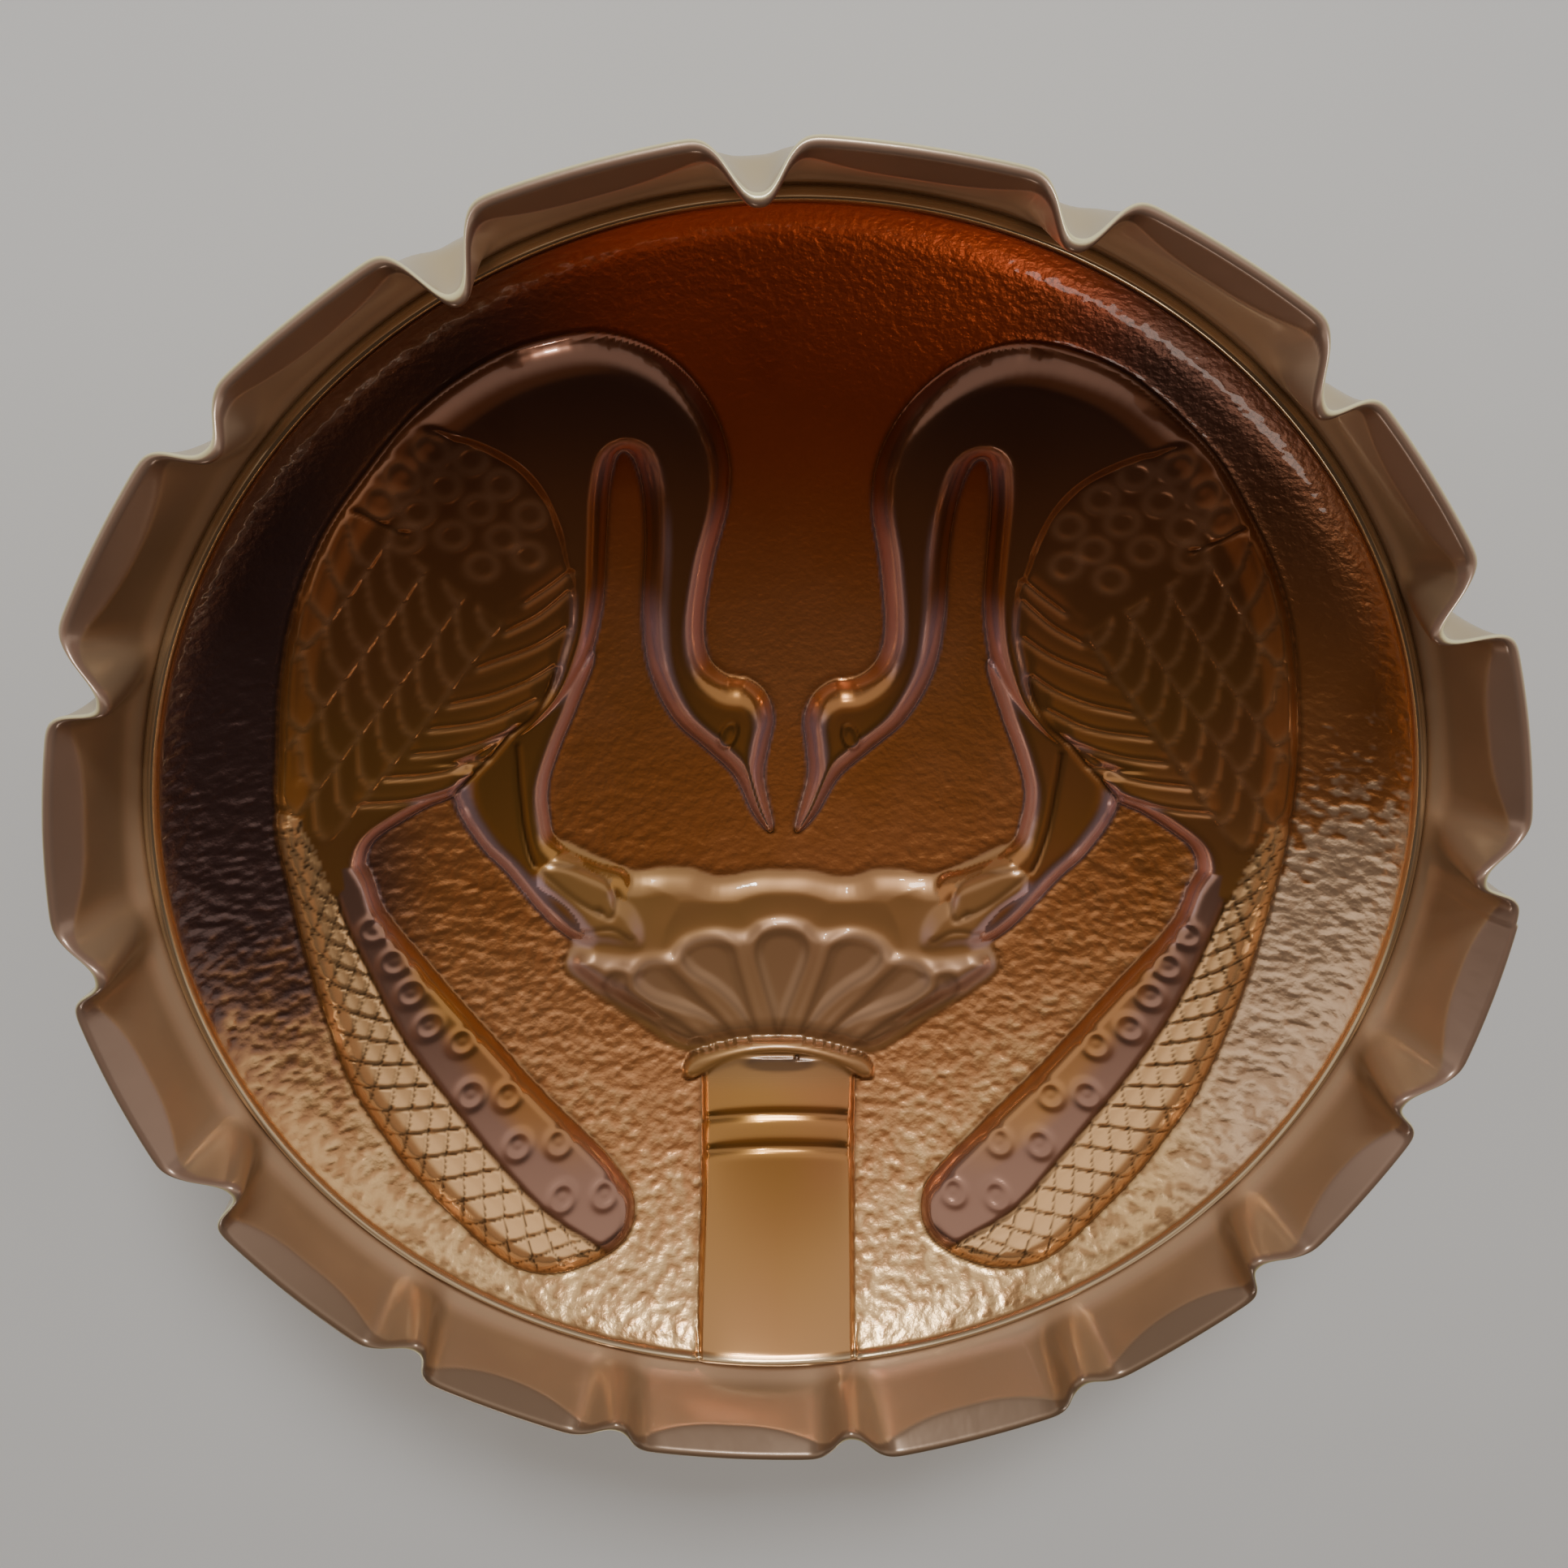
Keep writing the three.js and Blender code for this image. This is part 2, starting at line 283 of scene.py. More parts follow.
FOUNTAIN = (
    (0, -16.9), (5, -17), (12.5, -18.4), (17.7, -16.6), (23, -16.2), (29, -16.6), (36, -13.2), (43.6, -9),
    (50, -12), (50, -18.5), (44.8, -23.8), (41.4, -29.6), (42.6, -33.4), (42, -36), (37.5, -40.2),
    (29.2, -46.4), (19.4, -53.4), (10, -52.6), (0, -51.8),
)
BASIN = (
    (0, -16.9), (5, -17), (12.5, -18.4), (17.7, -16.6), (23, -16.2), (29, -16.6), (30.2, -19.4),
    (27, -24), (26.2, -29), (24, -32.4), (20, -29.6), (14, -28), (8, -28.4), (5, -26.6), (0, -25.6),
)
FEET = (
    (30.4, -16), (36, -13.2), (43.6, -9), (50, -12), (50, -18.5), (44.8, -23.8), (41.4, -29.6),
    (35, -31.4), (28, -32.6), (26.8, -28.6), (28.4, -24), (31.4, -20),
)
SHELL = (
    (0, -25.6), (5, -26.6), (8, -28.4), (14, -28), (20, -29.6), (24, -32.6), (30, -33), (36, -31.8),
    (41.4, -30.4), (42.8, -33.4), (42, -36), (37.5, -40.2), (29.2, -46.4), (19.4, -53.4), (10, -52.6),
    (0, -51.8),
)
PETALS = (
    ((0, -50.5), (1.7, -45), (3.6, -39.5), (5.2, -34), (4.6, -30.8), (2.6, -29.2), (0, -28.8),
     (-2.6, -29.2), (-4.6, -30.8), (-5.2, -34), (-3.6, -39.5), (-1.7, -45)),
    ((4.6, -50), (8.8, -44.8), (13.6, -40.4), (18.4, -37), (20.2, -33.6), (18.2, -31), (13.8, -30.4),
     (10.4, -32.4), (9, -36.4), (6.8, -43)),
    ((9.4, -51), (14.4, -47), (20.6, -44.2), (26.4, -41.6), (29.4, -38.2), (27.6, -35.2), (24.2, -35),
     (21.6, -37.4), (17.6, -41.6), (12.4, -46.8)),
    ((15.4, -52.2), (21, -49.4), (27.4, -46.4), (33, -42.8), (35.4, -39.2), (34, -36.4), (31.4, -37),
     (30.8, -40.4), (26.6, -43.8), (20.4, -47.4)),
)
COLUMN_HALF = 15.5
COLUMN_TOP = -54.5
COLUMN_HEIGHT = 5.6
COLUMN_EDGE = 1.2  # upright step at the column's sides, under its round
COLUMN_BANDS = (-66.5, -72.4)
NECK_Y = -52.6
NECK_HALF = 19.4
BIRD_HEIGHT = 4.3
WING_DROP = 1.3  # how far the wing lies below the shoulder
THIGH_HEIGHT = 2.5
TAIL_HEIGHT = 3.0
FEATHER_SLANT = 1.28  # feather rows follow y + slant * x, and the first one starts below
FEATHER_START = 103.5
FEATHER_ROW = 12.5
FEATHER_PITCH = 3.6
COVERT_RADIUS = 2.3
TAIL_EYE_RADIUS = 2.2
SCALE_LENGTH = 2.9
SCALE_SWEEP = 96.0  # radius at which lengths round the axis are measured, for the tail's scales
EYE_X = 11.9
EYE_Y = 12.8
EYE_TURN = (0.94, 0.34)  # cosine and sine of the eye's lean
WANDER = 0.35  # how far the pressed outlines stray from their clean curves
UPTURN_REACH = 8.0  # width over which the ground turns up to the ring line


def both_sides(half):
    """Full outline from the right half of a shape that starts and ends on the mirror plane."""
    return half + tuple((-px, py) for px, py in half[-2:0:-1])


def feather_rows(x, slant):
    """Long overlapping feathers in slanting rows: height, and the grooves along their edges."""
    level = slant / FEATHER_ROW
    row = np.floor(level)
    above = level - row
    bow = 0.6 * (1.0 - (1.0 - np.clip(above / 0.6, 0.0, 1.0)) ** 1.7)
    cell = (x - 61.3 - 1.2 * row) / FEATHER_PITCH - bow
    part = cell - np.floor(cell)
    tip_gap = above * FEATHER_ROW / math.hypot(1.0, FEATHER_SLANT)
    side_gap = (1.0 - part) * FEATHER_PITCH
    height = 0.75 * part ** 1.4 - 0.45 * above - 0.35 * line(np.minimum(side_gap, tip_gap), 0.3)
    groove = np.maximum(line(side_gap, 0.5), line(tip_gap, 0.5))
    return height, groove


def overlap_scales(across, along, length, lift):
    """Scales one unit wide, each tip standing over the row after it: height, and the tips' grooves."""
    height = np.zeros(across.shape)
    groove = np.zeros(across.shape)
    done = np.zeros(across.shape, bool)
    row0 = np.floor(along / length).astype(int)
    for back in (2, 1, 0, -1):
        row = row0 - back
        cell = across + np.where(row % 2 == 0, 0.0, 0.5)
        off = (cell - np.floor(cell) - 0.5) * 2.0
        margin = (row + 2.0) * length - length * np.abs(off) ** 1.35 - along
        inside = (margin > 0) & ~done
        reach = 1.0 - np.clip(margin / (2.0 * length), 0.0, 1.0)
        height = np.where(inside, lift * (reach - 0.5) * (1.0 - 0.25 * off ** 2), height)
        groove = np.where(inside, line(margin, 0.5), groove)
        done |= inside
    return height, groove


def ring_marks(x, y, centres, radius):
    """Small raised rings with a knob in the middle, one at each centre."""
    rise = np.zeros(x.shape)
    for cx, cy in centres:
        r = np.hypot(x - cx, y - cy)
        rise += 0.36 * line(r - radius, 0.8) + 0.1 * line(r, 0.8)
    return rise


def quill_vanes(x, y):
    """The quills along the wing's rear edge: a vane over each quill's line, and the lines."""
    rise = np.zeros(x.shape)
    lines = np.zeros(x.shape)
    for quill in QUILLS:
        path = curve(quill, False)
        distance, _ = path_distance(x, y, path, False, LINE_REACH)
        level = np.interp(x, path[:, 0], path[:, 1])
        along = smooth(-1.0, 1.0, x - path[0, 0]) * smooth(-1.5, 1.5, path[-1, 0] - x)
        above = np.clip(y - level, -LINE_REACH, LINE_REACH)
        vane = np.where(above > 0, np.exp(-above / 2.6), 0.0) * along * smooth(5.8, 4.0, distance)
        rise += 0.7 * vane * smooth(0.0, 1.6, above) - 0.2 * line(distance, 0.4)
        lines += line(distance, 0.5)
    return rise, lines


def bird_relief(x, y):
    """Height of body, wing, thigh and flank, the painted shade of the lines cut in them, their depth, and
    the pale lines of painted highlight.
    """
    body = depth_inside(x, y, PEACOCK)
    wing = depth_inside(x, y, WING)
    thigh = depth_inside(x, y, THIGH)
    flank = depth_inside(x, y, FLANK)
    body_rise = BIRD_HEIGHT * dome(body, 5.2)
    body_rise -= WING_DROP * smooth(-0.4, 1.8, wing) * smooth(0.0, 3.0, body)
    flank_rise = (BIRD_HEIGHT - WING_DROP) * dome(flank, 4.2)
    rise = highest(body_rise, THIGH_HEIGHT * dome(thigh, 4.2), flank_rise)

    on_wing = smooth(0.2, 1.6, wing) * smooth(-1.0, 0.5, body)
    rings = ring_marks(x, y, COVERT_RINGS, COVERT_RADIUS) * smooth(0.5, 2.0, wing)
    covert_edge = line(line_distance(x, y, COVERT_EDGE), 0.5) * on_wing
    slant = y + FEATHER_SLANT * x - FEATHER_START
    plumes = smooth(14.5, 16.5, x - y) * smooth(-0.4, 0.4, slant) * on_wing
    lift, groove = feather_rows(x, slant)
    vanes, quill_lines = quill_vanes(x, y)
    rise += 0.6 * rings - 0.35 * covert_edge + plumes * (0.42 * lift + 0.15) + vanes
    # pale lines: painted highlight along the covert rings, feather grooves and quills
    pale = rings + 0.7 * plumes * groove + 0.6 * quill_lines
    # painted shade in the lines cut in the wing and thigh, and round the eye
    cut = 0.6 * covert_edge
    for path, depth in ((WING_EDGE, 0.45), (THIGH_LINE, 0.35)):
        distance = line_distance(x, y, path)
        rise -= depth * line(distance, 0.5)
        cut += 0.8 * line(distance, 0.45)

    cos_eye, sin_eye = EYE_TURN
    eye_x, eye_y = x - EYE_X, y - EYE_Y
    eye = np.hypot(eye_x * cos_eye + eye_y * sin_eye, (eye_y * cos_eye - eye_x * sin_eye) / 1.9)
    rise += 0.3 * line(eye - 1.25, 0.3)
    cut += 0.5 * line(eye - 1.7, 0.25)
    return rise, cut, highest(body, thigh, flank), np.clip(pale, 0.0, 1.0)


def tail_relief(x, y):
    """Height of the tail, the painted shade of the lines cut in it, its depth, its scaled outer and rosy
    inner bands, which take painted reflection.
    """
    tail = depth_inside(x, y, TAIL)
    seam_path = curve(TAIL_SEAM, False)
    seam, _ = path_distance(x, y, seam_path, False, OUTLINE_REACH)
    back, _ = path_distance(x, y, curve(BACK_LINE, False), False, OUTLINE_REACH)
    order = np.argsort(seam_path[:, 1])
    past_seam = x - np.interp(y, seam_path[order, 1], seam_path[order, 0])
    on_tail = smooth(0.0, 0.6, tail)
    outer = smooth(-0.2, 0.4, past_seam) * on_tail * smooth(6.0, 2.0, y)
    inner = 1.0 - smooth(-0.8, 0.2, past_seam)
    across = seam / np.maximum(seam + back, 1.0)
    along = SCALE_SWEEP * np.arctan2(-y, x)
    lift, groove = overlap_scales(across * 2.0 + 0.5, along, SCALE_LENGTH, 0.35)
    rise = TAIL_HEIGHT * dome(tail, 3.2) + outer * (lift - 0.3 * groove)
    rise -= 0.3 * line(seam, 0.5) * on_tail
    rise += 0.7 * ring_marks(x, y, TAIL_EYES, TAIL_EYE_RADIUS) * inner * smooth(0.0, 1.5, tail)
    # painted shade in the scale tips' grooves and along the tail seam
    cut = outer * groove + 0.8 * line(seam, 0.45) * on_tail
    # the rosy inner band, which is given a painted reflection
    rosy = inner * np.clip(smooth(8.0, 3.5, seam) + smooth(-60.0, -76.0, y), 0.0, 1.0)
    return rise, cut, tail, outer, rosy


def basin_relief(x, half, y):
    """The basin, the claws on its ends and the fluted shell under it."""
    whole = depth_inside(x, y, both_sides(FOUNTAIN))
    basin = depth_inside(x, y, both_sides(BASIN))
    feet = depth_inside(half, y, FEET)
    shell = depth_inside(x, y, both_sides(SHELL))
    parts = 0.8 * smooth(0.0, 8.0, basin) + 1.2 * smooth(0.0, 4.0, feet) + smooth(0.0, 3.6, shell)
    rise = (1.2 + 1.1 * smooth(20.0, 33.0, half)) * smooth(-0.4, 5.2, whole)
    rise += smooth(0.0, 3.0, whole) * parts
    # painted shade round the petals and along the claws
    cut = np.zeros(x.shape)
    for petal in PETALS:
        on_axis = petal[0][0] == 0
        depth = depth_inside(x if on_axis else half, y, petal)
        rise += 0.2 * line(depth + 1.0, 1.0) - 0.4 * smooth(0.0, 2.0, depth)
        cut += 0.4 * line(depth, 0.6) + 0.15 * smooth(0.0, 1.5, depth)
    for claw in CLAW_LINES:
        distance = line_distance(half, y, claw)
        rise -= 0.35 * line(distance, 0.6)
        cut += 0.4 * line(distance, 0.45)
    return rise, cut, whole, smooth(0.0, 2.0, shell)


def column_relief(x, half, y):
    """The half-round column with two bands, sinking a little at its top and towards the ring line."""
    depth = np.minimum(COLUMN_HALF - half, COLUMN_TOP - y)
    bow = arch(x, COLUMN_HALF)
    rise = COLUMN_EDGE * dome(COLUMN_HALF - half, 0.8) + (COLUMN_HEIGHT - COLUMN_EDGE) * bow
    rise *= (0.72 + 0.28 * smooth(-54.0, -72.0, y)) * (1.0 - 0.35 * smooth(-60.0, -108.0, y))
    # painted shadow: a dark ellipse under the neck ring; painted shade in the two bands below
    cut = 0.75 * smooth(0.0, 0.35, 1.0 - np.hypot(x / 9.0, (y + 55.8) / 1.8))
    for level in COLUMN_BANDS:
        past_band = y - level - 1.2 * bow
        rise -= 0.5 * line(past_band, 0.9)
        cut += 0.4 * line(past_band, 0.7) * (depth > 0)
    return np.where(depth > 0, rise, 0.0), cut, depth


def neck_relief(x, half, y):
    """The bent ring round the top of the column, with rounded ends."""
    part = half / 19.0
    thickness = 1.7 + 1.3 * np.minimum(part, 1.0) ** 4
    ends = arch(np.maximum(half - 16.2, 0.0), 3.2)
    depth = thickness * ends - np.abs(y - NECK_Y + 4.6 * part ** 2)
    depth = np.where(half < NECK_HALF, depth, -OUTLINE_REACH)
    rise = 0.55 * COLUMN_HEIGHT * arch(x, 19.8) + smooth(-0.3, 1.8, depth)
    # painted shade along the ring's outline
    return np.where(depth > 0, rise, 0.0), 0.45 * line(depth, 0.7), depth


def fountain_relief(x, y):
    """Basin, fluted shell, neck ring and half-round column. x is measured from the mirror plane."""
    half = np.abs(x)
    basin, basin_cut, basin_depth, fluted = basin_relief(x, half, y)
    shaft, shaft_cut, shaft_depth = column_relief(x, half, y)
    neck, neck_cut, neck_depth = neck_relief(x, half, y)
    cut = basin_cut + shaft_cut + neck_cut
    return highest(basin, shaft, neck), cut, highest(basin_depth, shaft_depth, neck_depth), fluted


def relief(x, y):
    """Height over the smooth well, and the marks that tell the paint what each point is."""
    wander_x = x + WANDER * noise(x, y, 16.0, 11)
    wander_y = y + WANDER * noise(x, y, 16.0, 12)
    half = np.abs(wander_x)
    bird, bird_cut, bird_depth, pale = bird_relief(half, wander_y)
    tail, tail_cut, tail_depth, scaled, rosy = tail_relief(half, wander_y)
    fountain, fountain_cut, fountain_depth, fluted = fountain_relief(wander_x, wander_y)
    depth = highest(bird_depth, tail_depth, fountain_depth)
    ground = 1.0 - smooth(-0.5, 0.3, depth)
    figure = 1.0 - ground
    bird_top = bird >= np.maximum(tail, fountain)
    tail_top = tail > np.maximum(bird, fountain)
    fountain_top = fountain > np.maximum(bird, tail)
    # painted shade in the cut lines, and round the foot of every figure
    cut = np.select([bird_top, tail_top], [bird_cut, tail_cut], fountain_cut)
    cut = np.clip(cut, 0.0, 1.0) * figure + 0.6 * line(depth + 0.2, 0.45)

    inland = RING_RADIUS - np.hypot(x, y)
    stipple = 0.6 * noise(x / 1.5, y, 1.2, 21) + 0.6 * noise(x / 1.3, y, 0.8, 22)
    stipple += 0.25 * noise(x / 1.7, y, 3.0, 23)
    rough = 0.15 + 0.85 * smooth(-12.0, 60.0, 0.5 * half - y)
    rise = highest(bird, tail, fountain) - 0.15 * line(depth + 0.4, 0.6)
    rise += 0.17 * stipple * rough * ground * smooth(0.8, 3.0, inland)
    rise += 1.8 * np.clip(1.0 - inland / UPTURN_REACH, 0.0, 1.0) ** 2 * ground
    rise += 0.4 * line(inland - 0.6, 0.5)
    marks = {
        "ground": ground * smooth(1.0, 2.0, inland),
        "cut": np.clip(cut, 0.0, 1.0),
        "pits": stipple,
        # painted reflection on the tail's scaled outer band
        "scale_glint": scaled * tail_top * figure,
        # bead: where the ring line's painted highlight goes
        "bead": smooth(1.2, 0.7, inland),
        "soft": fountain_top * figure * smooth(-62.0, -56.0, y),
        # pale: the wing's painted highlight lines
        "pale": pale * bird_top * figure,
        # lilac: painted reflection on the tails' inner bands and the fluted shell
        "lilac": (1.25 * rosy * tail_top + 0.8 * fluted * fountain_top) * figure,
    }
    return rise, marks


# ---- meshes ----

def disc_grid(count):
    """Square grid mapped on to the unit disc, so its cells stay nearly even. Also its rim, in order."""
    line_points = np.linspace(-1.0, 1.0, count)
    a, b = np.meshgrid(line_points, line_points, indexing="ij")
    x = a * np.sqrt(1.0 - b * b / 2.0)
    y = b * np.sqrt(1.0 - a * a / 2.0)
    number = np.arange(count * count).reshape(count, count)
    corners = (number[:-1, :-1], number[1:, :-1], number[1:, 1:], number[:-1, 1:])
    quads = np.stack(corners, -1).reshape(-1, 4)
    rim = np.concatenate([number[:-1, 0], number[-1, :-1], number[:0:-1, -1], number[0, :0:-1]])
    return x, y, quads, rim


def make_object(name, vertices, faces, attributes=None):
    """A smooth-shaded mesh object from vertices in millimetres, with a value per vertex for each mark."""
    mesh = bpy.data.meshes.new(name)
    mesh.from_pydata((np.asarray(vertices) * MM).tolist(), [], faces)
    mesh.validate()
    mesh.update()
    mesh.shade_smooth()
    for key, values in (attributes or {}).items():
        layer = mesh.attributes.new(key, "FLOAT", "POINT")
        layer.data.foreach_set("value", np.asarray(values, np.float32))
    piece = bpy.data.objects.new(name, mesh)
    bpy.context.scene.collection.objects.link(piece)
    return piece


def circle(reach, height, turns):
    return np.stack([reach * np.cos(turns), reach * np.sin(turns), np.full(turns.shape, height)], -1)


def outer_ring(angle, turns):
    """One ring of the well's outer face, at an angle from the well's axis."""
    return circle(OUTER_CURVE * math.sin(angle), CENTRE_Z - OUTER_CURVE * math.cos(angle), turns)


def ring_faces(first, second, count):
    """Quads between two rings of equal count, given by the number of their first vertex."""
    j = np.arange(count)
    k = (j + 1) % count
    return np.stack([first + j, second + j, second + k, first + k], -1).tolist()


def soften(values, times):
    """Averages every point of a grid with its four neighbours."""
    for _ in range(times):
        wide = np.pad(values, 1, mode="edge")
        sides = wide[:-2, 1:-1] + wide[2:, 1:-1] + wide[1:-1, :-2] + wide[1:-1, 2:]
        values = (sides + values) / 5.0
    return values


def slopes(x, y, height):
    """Slope of a height along x and along y, on a grid whose cells aren't square."""
    xa, xb = np.gradient(x)
    ya, yb = np.gradient(y)
    ha, hb = np.gradient(height)
    area = xa * yb - xb * ya
    area = np.where(np.abs(area) < TINY, TINY, area)
    return (ha * yb - hb * ya) / area, (hb * xa - ha * xb) / area


def flank_sheen(x, y, rise):
    """Where a painted reflection lies, a lilac-pink sheen: steep sides of necks, legs and claws, but not
    those facing +Y.
    """
    slope_x, slope_y = slopes(x, y, soften(rise, 5))
    tilt = np.hypot(slope_x, slope_y)
    radius = np.maximum(np.hypot(x, y), TINY)
    seen = smooth(-0.6, 0.2, slope_y / np.maximum(tilt, TINY))
    outward = -(slope_x * x + slope_y * y) / (np.maximum(tilt, TINY) * radius)
    hidden = smooth(-0.2, 0.5, outward) * smooth(66.0, 76.0, radius)
    half = np.abs(x)
    low_neck = smooth(62.0, 50.0, y) * (1.0 - smooth(22.0, 25.0, half) * smooth(34.0, 44.0, y))
    crook = line(np.hypot(half - 30.2, y - 66.5), 5.5)
    fading = smooth(-48.0, -28.0, y) * (0.3 + 0.7 * smooth(-20.0, 2.0, y + 0.4 * half))
    inland = smooth(101.0, 97.0, radius)
    return smooth(0.22, 0.6, tilt) * seen * (1.0 - hidden) * np.maximum(low_neck * fading, crook) * inland


def stitch(fine_start, coarse_start, coarse):
    """Triangles between a fine ring and a coarse one, which has a vertex for each step of the fine one."""
    faces = []
    fine = coarse * OUTSIDE_STEP
    for j in range(coarse):
        for s in range(j * OUTSIDE_STEP, (j + 1) * OUTSIDE_STEP):
            faces.append([fine_start + s, coarse_start + j, fine_start + (s + 1) % fine])
        following = fine_start + (j + 1) * OUTSIDE_STEP % fine
        faces.append([following, coarse_start + j, coarse_start + (j + 1) % coarse])
    return faces


def well_outside(rim, turns, start):
    """Outer face of the well, from the inner face's rim down to the pole: vertices and faces."""
    fine = len(rim)
    coarse = fine // OUTSIDE_STEP
    vertices = [outer_ring(RING_ANGLE, turns), outer_ring(RING_ANGLE * 0.985, turns)]
    order = np.arange(fine)
    after = np.roll(order, -1)
    faces = np.stack([rim, start + order, start + after, rim[after]], -1).tolist()
    faces += ring_faces(start, start + fine, fine)
    coarse_start = start + 2 * fine
    faces += stitch(start + fine, coarse_start, coarse)
    angles = RING_ANGLE * np.linspace(0.965, 0.03, OUTSIDE_RINGS)
    vertices += [outer_ring(angle, turns[::OUTSIDE_STEP]) for angle in angles]
    last = coarse_start + (OUTSIDE_RINGS - 1) * coarse
    for first in range(coarse_start, last, coarse):
        faces += ring_faces(first, first + coarse, coarse)
    vertices.append([[0.0, 0.0, CENTRE_Z - OUTER_CURVE]])
    faces += [[last + j, last + coarse, last + (j + 1) % coarse] for j in range(coarse)]
    return np.vstack(vertices), faces


def make_well():
    """The well: relief on the inner face, a plain sphere outside."""
    grid_x, grid_y, quads, rim = disc_grid(WELL_GRID)
    grid_x, grid_y = grid_x * RING_RADIUS, grid_y * RING_RADIUS
    rise, marks = relief(grid_x, grid_y)
    marks["flank"] = flank_sheen(grid_x, grid_y, rise)
    marks["pale"] = soften(marks["pale"], 2)
    x, y = grid_x.ravel(), grid_y.ravel()
    shrink = (WELL_CURVE - rise.ravel()) / WELL_CURVE
    fall = np.sqrt(WELL_CURVE ** 2 - np.hypot(x, y) ** 2)
    inner = np.stack([x * shrink, y * shrink, CENTRE_Z - fall * shrink], -1)
    outer, outer_faces = well_outside(rim, np.arctan2(y[rim], x[rim]), len(inner))
    blank = np.zeros(len(outer))
    marks = {key: np.concatenate([values.ravel(), blank]) for key, values in marks.items()}
    marks["outside"] = np.repeat([0.0, 1.0], [len(inner), len(outer)])
    return make_object("bowl_well", np.vstack([inner, outer]), quads.tolist() + outer_faces, marks)


def crimp_state(angle):
    """Offset from the nearest crimp in degrees, that crimp's depth, and the panel's own spread."""
    nearest = np.full(angle.shape, 360.0)
    depth = np.zeros(angle.shape)
    spread = np.zeros(angle.shape)
    for k in range(CRIMPS):
        at = CRIMP_START - PITCH * k + CRIMP_DRIFT[k]
        off = np.abs((angle - at + 180.0) % 360.0 - 180.0)
        closer = off < nearest
        nearest = np.where(closer, off, nearest)
        depth = np.where(closer, CRIMP_DEPTH[k], depth)
        from_middle = np.abs((angle - at + PITCH / 2.0 + 180.0) % 360.0 - 180.0)
        spread += PANEL_SPREAD[k] * smooth(PITCH * 0.6, PITCH * 0.4, from_middle)
    return nearest, depth, spread


def collar_profile(up, angle):
    """Inner face of the collar: radius, height and how much of it is the flared lip facet."""
    away, depth, spread = crimp_state(angle)
    pinch = np.exp(-(np.radians(away) * RIM_RADIUS / CRIMP_WIDTH) ** 2.5)
    along = np.clip(1.0 - (away - 2.2) / (PITCH / 2.0 - 2.2), 0.0, 1.0)
    crease = CREASE + (CREASE_AT_CRIMP - CREASE) * along ** 2.4
    crease_reach = CREASE_REACH + (EDGE_REACH - CREASE_REACH) * (crease - CREASE) / (1.0 - CREASE)
    wall = crease_reach * up / crease
    facet = crease_reach + (EDGE_REACH - crease_reach) * (up - crease) / (1.0 - crease)
    reach = 0.5 * (wall + facet + np.sqrt((wall - facet) ** 2 + 0.05))
    cove = 0.9 * (1.0 - (1.0 - np.clip(up / 0.25, 0.0, 1.0)) ** 2)
    sway = 0.2 * noise(angle * 0.35, np.zeros(angle.shape), 9.0, 31)
    flat = PANEL_FLAT * (1.0 - along ** 2)
    oval = RIM_OVAL * np.cos(2.0 * np.radians(angle))
    radius = RING_RADIUS + COLLAR_GAP + reach + cove + (oval + spread + sway - flat) * up
    radius -= depth * pinch * up ** 0.9
    height = RING_Z - COLLAR_GAP + (COLLAR_RISE - EDGE_ROLL) * up + CRIMP_LIFT * pinch * up ** 1.5
    return radius, height, smooth(-0.05, 0.15, facet - wall)


def collar_section(up, angle, turns):
    """Rows of (radius, height) round the closed section, and how much of the inner face is lip facet.

    The rows are the inner face going up, the rolled edge, the outer face going down and the seat.
    """
    radius, height, lip = collar_profile(up[:, None], angle[None, :])
    inner = np.stack([radius, height])
    normal = np.stack([np.gradient(height, axis=0), -np.gradient(radius, axis=0)])
    normal /= np.hypot(*normal)
    outer = inner + normal * (WALL_AT_RING + (WALL_AT_EDGE - WALL_AT_RING) * smooth(0.0, 0.9, up[:, None]))
    middle = (inner[:, -1] + outer[:, -1]) / 2.0
    across = normal[:, -1] * WALL_AT_EDGE / 2.0
    onward = np.stack([across[1], -across[0]])
    edge = np.stack([middle - across * math.cos(t) - onward * math.sin(t) for t in turns], axis=1)
    foot = np.array([OUTER_CURVE * math.sin(RING_ANGLE), CENTRE_Z - OUTER_CURVE * math.cos(RING_ANGLE)])
    ring = np.array([RING_RADIUS, RING_Z])
    seat = np.stack([foot, (ring + foot) / 2.0], axis=1)[:, :, None] * np.ones(len(angle))
    return np.concatenate([inner, edge, outer[:, ::-1], seat], axis=1), lip


def collar_marks(up, lip, turns, outer_rows):
    """Marks of the collar, row by row: inner face, rolled edge, then the outer face and the seat."""
    around = lip.shape[1]
    # the rolled edge is bare glass, painted paler as its glint
    bare = smooth(0.4, 0.7, turns / math.pi)
    outside = np.zeros(outer_rows)
    rows = {
        "bare": [np.zeros(len(up)), bare, outside],
        "inside": [np.ones(len(up)), 1.0 - bare, outside],
        # cove: where a painted highlight goes, at the foot of the inner face
        "cove": [smooth(0.3, 0.12, up), np.zeros(len(turns)), outside],
    }
    marks = {key: np.repeat(np.concatenate(values), around) for key, values in rows.items()}
    edge_and_outside = np.repeat(np.concatenate([np.ones(len(turns)), outside]), around)
    marks["lip"] = np.concatenate([lip.ravel(), edge_and_outside])
    return marks


